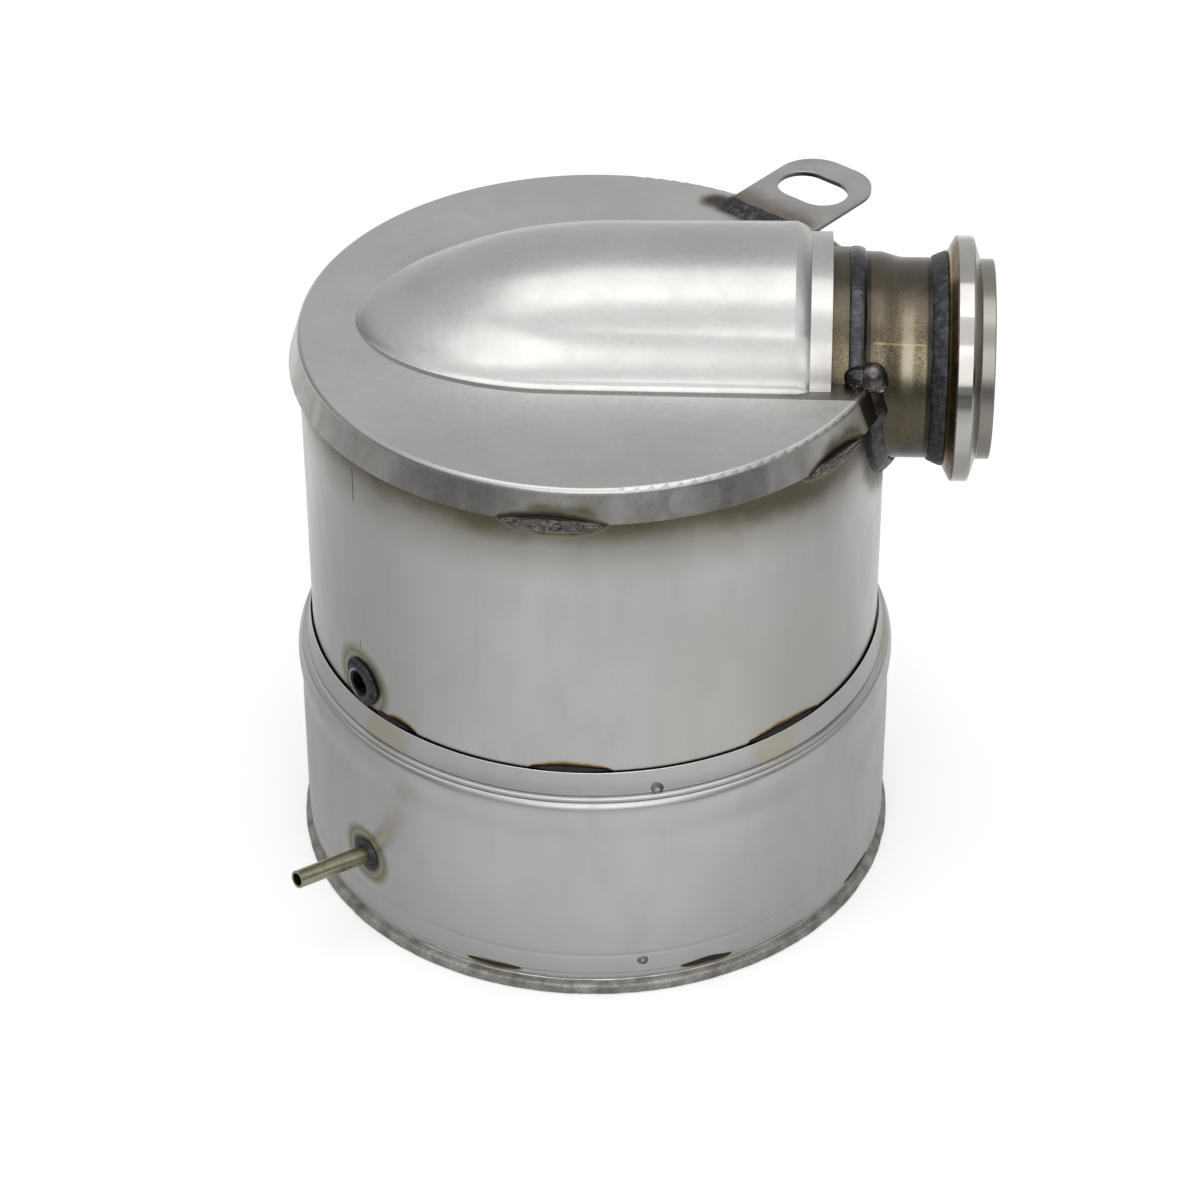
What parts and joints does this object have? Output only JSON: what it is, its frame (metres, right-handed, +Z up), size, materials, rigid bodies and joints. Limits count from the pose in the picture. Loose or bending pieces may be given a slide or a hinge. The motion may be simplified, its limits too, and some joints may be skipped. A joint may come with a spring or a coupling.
{
  "type": "diesel oxidation catalyst",
  "caption": "Upright steel exhaust canister holding a coated honeycomb, with a clamp-flanged side inlet under a pressed hood and a ring flange as outlet below.",
  "frame": {"origin": "centre of the outlet opening, at the underside of the outlet flange, on the axis of the canister", "axes": "+Z up along the canister axis towards the lid, +X towards the mouth of the side inlet, +Y completes the right-handed frame"},
  "size_m": [0.3618, 0.325, 0.3645],
  "materials": {
    "pressed_steel": "pressed stainless sheet, satin",
    "shell_steel": "rolled stainless sheet, fine vertical brushing",
    "jacket_steel": "rolled stainless sheet, matt",
    "plate_steel": "flat cut plate, matt",
    "tube_steel": "drawn tube with golden heat tint",
    "flange_steel": "turned ring, polished rim",
    "rough_steel": "dark scaled ring",
    "weld_metal": "dark weld bead with scale",
    "coated_ceramic": "washcoated ceramic honeycomb",
    "mat_fibre": "pressed fibre mat",
    "blanket_fibre": "needled fibre blanket"
  },
  "bodies": {
    "root": {"inlet_head": "pressed_steel", "inlet_tube": "tube_steel", "inlet_socket": "tube_steel", "neck_weld": "weld_metal", "inlet_flange": "flange_steel", "flange_weld": "weld_metal", "body_shell": "shell_steel", "outer_jacket": "jacket_steel", "plug_welds": "weld_metal", "outlet_flange": "rough_steel", "insulation_blanket": "blanket_fibre", "catalyst_substrate": "coated_ceramic", "support_mat": "mat_fibre", "upper_retaining_ring": "tube_steel", "lower_retaining_ring": "tube_steel", "sensor_bung": "flange_steel", "bung_weld": "weld_metal", "sense_tube": "tube_steel", "sense_tube_weld": "weld_metal", "lifting_lug": "plate_steel", "lug_weld": "weld_metal", "skirt_welds": "weld_metal", "collar_welds": "weld_metal", "base_welds": "weld_metal"}
  },
  "joints": []
}
